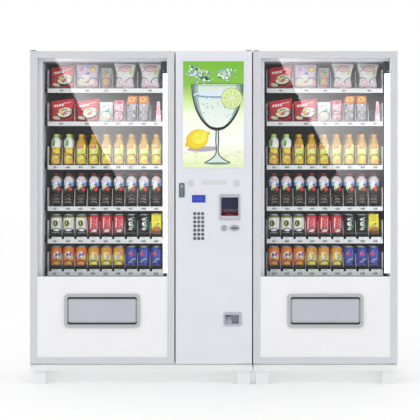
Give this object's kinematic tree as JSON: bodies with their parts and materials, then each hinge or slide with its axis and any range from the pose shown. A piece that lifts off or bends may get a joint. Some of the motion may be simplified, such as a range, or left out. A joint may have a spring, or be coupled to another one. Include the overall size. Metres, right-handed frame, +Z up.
{
  "type": "snack vending machine",
  "caption": "Two-cabinet snack and drink vending machine with glazed goods doors, a payment column, turning coils and delivery flaps.",
  "frame": {"origin": "on the floor, under the middle of the bounding box", "axes": "+X to the right as the customer sees it, the doors face -Y, +Z up"},
  "size_m": [2.132, 0.795, 1.94],
  "materials": {
    "cabinet_white": "satin powder coat",
    "liner_grey": "matte moulded liner",
    "plinth_white": "satin powder coat",
    "tray_steel": "satin",
    "price_white": "matte",
    "runner_black": "satin",
    "coil_wire": "drawn wire",
    "motor_black": "matte",
    "lamp_white": "frosted diffuser",
    "bin_grey": "satin",
    "cooler_grey": "satin",
    "grille_grey": "satin",
    "frame_aluminium": "satin anodised",
    "pane": "clear",
    "door_white": "satin powder coat",
    "centre_white": "satin powder coat",
    "bezel_grey": "satin moulded",
    "flap_grey": "satin",
    "poster": "gloss print",
    "screen_blue": "lit screen",
    "key_dark": "matte",
    "acceptor_black": "satin",
    "coin_metal": "brushed",
    "cup_grey": "matte",
    "lock_dark": "matte",
    "module_grey": "satin",
    "hinge_steel": "plated",
    "stock_print": "printed packs, labels and cans",
    "seal_black": "matte seals and clips"
  },
  "bodies": {
    "cabinet": {"main_cabinet_shell": "cabinet_white", "side_cabinet_shell": "cabinet_white", "compartment_liners": "liner_grey", "base_plinths": "plinth_white", "support_legs": "plinth_white", "shelf_trays": "tray_steel", "lane_dividers": "tray_steel", "price_rails": "price_white", "tray_runners": "runner_black", "vend_motors": "motor_black", "light_strips": "lamp_white", "collection_bins": "bin_grey", "cooling_units": "cooler_grey", "rear_grilles": "grille_grey", "power_inlet": "motor_black", "payment_modules": "module_grey", "hinge_brackets": "hinge_steel"},
    "spiral_main": {"spiral_main": "coil_wire"},
    "spiral_side": {"spiral_side": "coil_wire"},
    "left_door": {"left_door_frame": "frame_aluminium", "left_glass": "pane", "left_lower_panel": "door_white", "left_delivery_bezel": "bezel_grey"},
    "left_flap": {"left_delivery_flap": "flap_grey"},
    "right_door": {"right_door_frame": "frame_aluminium", "right_glass": "pane", "right_lower_panel": "door_white", "right_delivery_bezel": "bezel_grey"},
    "right_flap": {"right_delivery_flap": "flap_grey"},
    "centre_door": {"centre_door_panel": "centre_white", "advert_panel": "poster", "display_screen": "screen_blue", "keypad_fascia": "centre_white", "bill_acceptor": "acceptor_black", "coin_slot_plate": "coin_metal", "coin_cup": "cup_grey", "lock_housing": "lock_dark"},
    "coin_return": {"coin_return_button": "coin_metal"},
    "lock_handle": {"lock_handle": "lock_dark"},
    "key_r1_c1": {"key_r1_c1": "key_dark"},
    "key_r1_c2": {"key_r1_c2": "key_dark"},
    "key_r1_c3": {"key_r1_c3": "key_dark"},
    "key_r2_c1": {"key_r2_c1": "key_dark"},
    "key_r2_c2": {"key_r2_c2": "key_dark"},
    "key_r2_c3": {"key_r2_c3": "key_dark"},
    "key_r3_c1": {"key_r3_c1": "key_dark"},
    "key_r3_c2": {"key_r3_c2": "key_dark"},
    "key_r3_c3": {"key_r3_c3": "key_dark"},
    "key_r4_c1": {"key_r4_c1": "key_dark"},
    "key_r4_c2": {"key_r4_c2": "key_dark"},
    "key_r4_c3": {"key_r4_c3": "key_dark"},
    "key_r5_c1": {"key_r5_c1": "key_dark"},
    "key_r5_c2": {"key_r5_c2": "key_dark"},
    "key_r5_c3": {"key_r5_c3": "key_dark"},
    "key_r6_c1": {"key_r6_c1": "key_dark"},
    "key_r6_c2": {"key_r6_c2": "key_dark"},
    "key_r6_c3": {"key_r6_c3": "key_dark"},
    "key_r7_c1": {"key_r7_c1": "key_dark"},
    "key_r7_c2": {"key_r7_c2": "key_dark"},
    "key_r7_c3": {"key_r7_c3": "key_dark"}
  },
  "joints": [
    {"name": "left_door_hinge", "type": "hinge", "parent": "cabinet", "child": "left_door", "pos_m": [-1.048, -0.38, 0.12], "axis": [0, 0, -1], "range_deg": [0, 100]},
    {"name": "centre_door_hinge", "type": "hinge", "parent": "cabinet", "child": "centre_door", "pos_m": [0.203, -0.38, 0.12], "axis": [0, 0, 1], "range_deg": [0, 80]},
    {"name": "right_door_hinge", "type": "hinge", "parent": "cabinet", "child": "right_door", "pos_m": [0.247, -0.38, 0.12], "axis": [0, 0, -1], "range_deg": [0, 90]},
    {"name": "left_flap_hinge", "type": "hinge", "parent": "left_door", "child": "left_flap", "pos_m": [-0.6475, -0.3915, 0.4965], "axis": [1, 0, 0], "range_deg": [0, 65]},
    {"name": "right_flap_hinge", "type": "hinge", "parent": "right_door", "child": "right_flap", "pos_m": [0.6475, -0.3915, 0.4965], "axis": [1, 0, 0], "range_deg": [0, 65]},
    {"name": "coin_return_press", "type": "slide", "parent": "centre_door", "child": "coin_return", "axis": [0, 1, 0], "range_m": [0, 0.004], "stiffness_N_per_m": 400},
    {"name": "lock_handle_pop", "type": "slide", "parent": "centre_door", "child": "lock_handle", "axis": [0, -1, 0], "range_m": [0, 0.018]},
    {"name": "key_r1_c1_press", "type": "slide", "parent": "centre_door", "child": "key_r1_c1", "axis": [0, 1, 0], "range_m": [0, 0.0015], "stiffness_N_per_m": 400},
    {"name": "key_r1_c2_press", "type": "slide", "parent": "centre_door", "child": "key_r1_c2", "axis": [0, 1, 0], "range_m": [0, 0.0015], "stiffness_N_per_m": 400},
    {"name": "key_r1_c3_press", "type": "slide", "parent": "centre_door", "child": "key_r1_c3", "axis": [0, 1, 0], "range_m": [0, 0.0015], "stiffness_N_per_m": 400},
    {"name": "key_r2_c1_press", "type": "slide", "parent": "centre_door", "child": "key_r2_c1", "axis": [0, 1, 0], "range_m": [0, 0.0015], "stiffness_N_per_m": 400},
    {"name": "key_r2_c2_press", "type": "slide", "parent": "centre_door", "child": "key_r2_c2", "axis": [0, 1, 0], "range_m": [0, 0.0015], "stiffness_N_per_m": 400},
    {"name": "key_r2_c3_press", "type": "slide", "parent": "centre_door", "child": "key_r2_c3", "axis": [0, 1, 0], "range_m": [0, 0.0015], "stiffness_N_per_m": 400},
    {"name": "key_r3_c1_press", "type": "slide", "parent": "centre_door", "child": "key_r3_c1", "axis": [0, 1, 0], "range_m": [0, 0.0015], "stiffness_N_per_m": 400},
    {"name": "key_r3_c2_press", "type": "slide", "parent": "centre_door", "child": "key_r3_c2", "axis": [0, 1, 0], "range_m": [0, 0.0015], "stiffness_N_per_m": 400},
    {"name": "key_r3_c3_press", "type": "slide", "parent": "centre_door", "child": "key_r3_c3", "axis": [0, 1, 0], "range_m": [0, 0.0015], "stiffness_N_per_m": 400},
    {"name": "key_r4_c1_press", "type": "slide", "parent": "centre_door", "child": "key_r4_c1", "axis": [0, 1, 0], "range_m": [0, 0.0015], "stiffness_N_per_m": 400},
    {"name": "key_r4_c2_press", "type": "slide", "parent": "centre_door", "child": "key_r4_c2", "axis": [0, 1, 0], "range_m": [0, 0.0015], "stiffness_N_per_m": 400},
    {"name": "key_r4_c3_press", "type": "slide", "parent": "centre_door", "child": "key_r4_c3", "axis": [0, 1, 0], "range_m": [0, 0.0015], "stiffness_N_per_m": 400},
    {"name": "key_r5_c1_press", "type": "slide", "parent": "centre_door", "child": "key_r5_c1", "axis": [0, 1, 0], "range_m": [0, 0.0015], "stiffness_N_per_m": 400},
    {"name": "key_r5_c2_press", "type": "slide", "parent": "centre_door", "child": "key_r5_c2", "axis": [0, 1, 0], "range_m": [0, 0.0015], "stiffness_N_per_m": 400},
    {"name": "key_r5_c3_press", "type": "slide", "parent": "centre_door", "child": "key_r5_c3", "axis": [0, 1, 0], "range_m": [0, 0.0015], "stiffness_N_per_m": 400},
    {"name": "key_r6_c1_press", "type": "slide", "parent": "centre_door", "child": "key_r6_c1", "axis": [0, 1, 0], "range_m": [0, 0.0015], "stiffness_N_per_m": 400},
    {"name": "key_r6_c2_press", "type": "slide", "parent": "centre_door", "child": "key_r6_c2", "axis": [0, 1, 0], "range_m": [0, 0.0015], "stiffness_N_per_m": 400},
    {"name": "key_r6_c3_press", "type": "slide", "parent": "centre_door", "child": "key_r6_c3", "axis": [0, 1, 0], "range_m": [0, 0.0015], "stiffness_N_per_m": 400},
    {"name": "key_r7_c1_press", "type": "slide", "parent": "centre_door", "child": "key_r7_c1", "axis": [0, 1, 0], "range_m": [0, 0.0015], "stiffness_N_per_m": 400},
    {"name": "key_r7_c2_press", "type": "slide", "parent": "centre_door", "child": "key_r7_c2", "axis": [0, 1, 0], "range_m": [0, 0.0015], "stiffness_N_per_m": 400},
    {"name": "key_r7_c3_press", "type": "slide", "parent": "centre_door", "child": "key_r7_c3", "axis": [0, 1, 0], "range_m": [0, 0.0015], "stiffness_N_per_m": 400},
    {"name": "spiral_main_turn", "type": "hinge", "parent": "cabinet", "child": "spiral_main", "pos_m": [-0.3414, -0.205, 1.566], "axis": [0, 1, 0], "continuous": true},
    {"name": "spiral_side_turn", "type": "hinge", "parent": "cabinet", "child": "spiral_side", "pos_m": [0.9536, -0.205, 1.566], "axis": [0, 1, 0], "continuous": true}
  ]
}
